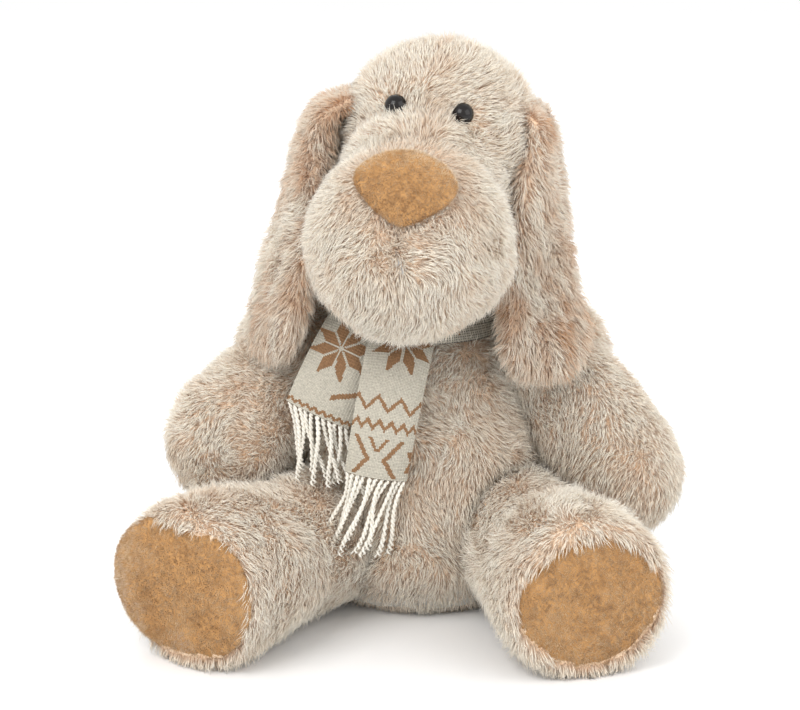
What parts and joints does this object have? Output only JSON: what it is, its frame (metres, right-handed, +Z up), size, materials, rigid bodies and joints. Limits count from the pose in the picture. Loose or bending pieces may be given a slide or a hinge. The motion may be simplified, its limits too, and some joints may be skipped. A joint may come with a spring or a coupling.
{
  "type": "plush dog",
  "caption": "Seated soft-toy dog with a rounded muzzle, long floppy ears, thick limbs, velour nose and foot pads, and a short woven scarf with fringed ends.",
  "frame": {"origin": "middle of the flat seat, on the surface that the dog sits on", "axes": "+Z up, -Y the way the dog faces, +X towards the dog's own left"},
  "size_m": [0.2945, 0.2799, 0.3027],
  "materials": {
    "plush_fur": "long soft pile, cream tips over tan roots",
    "velour": "short dense velour pile",
    "eye_plastic": "polished black",
    "washer_plastic": "moulded white",
    "scarf_weave": "coarse two-colour weave",
    "scarf_yarn": "twisted off-white yarn",
    "fibre_filling": "lofty white polyester fibre",
    "pellet_cloth": "thin plain-woven inner bag"
  },
  "bodies": {
    "torso": {"torso_front_panel": "plush_fur", "torso_back_panel": "plush_fur", "torso_base_panel": "plush_fur", "torso_stuffing": "fibre_filling", "pellet_bag": "pellet_cloth", "scarf_wrap": "scarf_weave"},
    "neck": {"neck_stuffing": "fibre_filling"},
    "head": {"head_left_panel": "plush_fur", "head_right_panel": "plush_fur", "head_stuffing": "fibre_filling", "nose_cover": "velour", "nose_stuffing": "fibre_filling", "eye_left": "eye_plastic", "eye_right": "eye_plastic", "eye_washer_left": "washer_plastic", "eye_washer_right": "washer_plastic"},
    "ear_left": {"ear_left_outer": "plush_fur", "ear_left_lining": "plush_fur"},
    "ear_right": {"ear_right_outer": "plush_fur", "ear_right_lining": "plush_fur"},
    "arm_left": {"arm_left_skin": "plush_fur", "arm_left_stuffing": "fibre_filling"},
    "arm_right": {"arm_right_skin": "plush_fur", "arm_right_stuffing": "fibre_filling"},
    "leg_left": {"leg_left_skin": "plush_fur", "leg_left_stuffing": "fibre_filling", "foot_pad_left": "velour"},
    "leg_right": {"leg_right_skin": "plush_fur", "leg_right_stuffing": "fibre_filling", "foot_pad_right": "velour"},
    "tail": {"tail_skin": "plush_fur", "tail_stuffing": "fibre_filling"},
    "scarf_front": {"scarf_front_end": "scarf_weave", "scarf_front_fringe": "scarf_yarn"},
    "scarf_back": {"scarf_back_end": "scarf_weave", "scarf_back_fringe": "scarf_yarn"}
  },
  "joints": [
    {"name": "neck_turn", "type": "hinge", "parent": "torso", "child": "neck", "pos_m": [0, -0.005, 0.19], "axis": [0, 0, 1], "range_deg": [-5, 10], "stiffness_Nm_per_rad": 0.15},
    {"name": "head_nod", "type": "hinge", "parent": "neck", "child": "head", "pos_m": [0, -0.005, 0.19], "axis": [1, 0, 0], "range_deg": [-15, 0], "stiffness_Nm_per_rad": 0.3},
    {"name": "ear_left_lift", "type": "hinge", "parent": "head", "child": "ear_left", "pos_m": [0.057, -0.011, 0.28], "axis": [0, -1, 0], "range_deg": [0, 75]},
    {"name": "ear_right_lift", "type": "hinge", "parent": "head", "child": "ear_right", "pos_m": [-0.04, -0.009, 0.285], "axis": [0, 1, 0], "range_deg": [0, 75]},
    {"name": "arm_left_lift", "type": "hinge", "parent": "torso", "child": "arm_left", "pos_m": [0.072, -0.004, 0.12], "axis": [-1, 0, 0], "range_deg": [0, 35]},
    {"name": "arm_right_lift", "type": "hinge", "parent": "torso", "child": "arm_right", "pos_m": [-0.072, -0.004, 0.12], "axis": [-1, 0, 0], "range_deg": [0, 15]},
    {"name": "leg_left_lift", "type": "hinge", "parent": "torso", "child": "leg_left", "pos_m": [0.05, -0.038, 0.042], "axis": [-0.9554, -0.2953, 0], "range_deg": [0, 25]},
    {"name": "leg_right_lift", "type": "hinge", "parent": "torso", "child": "leg_right", "pos_m": [-0.05, -0.038, 0.042], "axis": [-0.8061, 0.5917, 0], "range_deg": [0, 9]},
    {"name": "tail_wag", "type": "hinge", "parent": "torso", "child": "tail", "pos_m": [0, 0.079, 0.04], "axis": [0, 0, 1], "range_deg": [-25, 25], "stiffness_Nm_per_rad": 0.02},
    {"name": "scarf_front_lift", "type": "hinge", "parent": "torso", "child": "scarf_front", "pos_m": [-0.009, -0.053, 0.163], "axis": [-1, 0, 0], "range_deg": [0, 35]},
    {"name": "scarf_back_lift", "type": "hinge", "parent": "torso", "child": "scarf_back", "pos_m": [-0.03, -0.045, 0.165], "axis": [-0.9659, 0.2588, 0], "range_deg": [0, 5]}
  ]
}
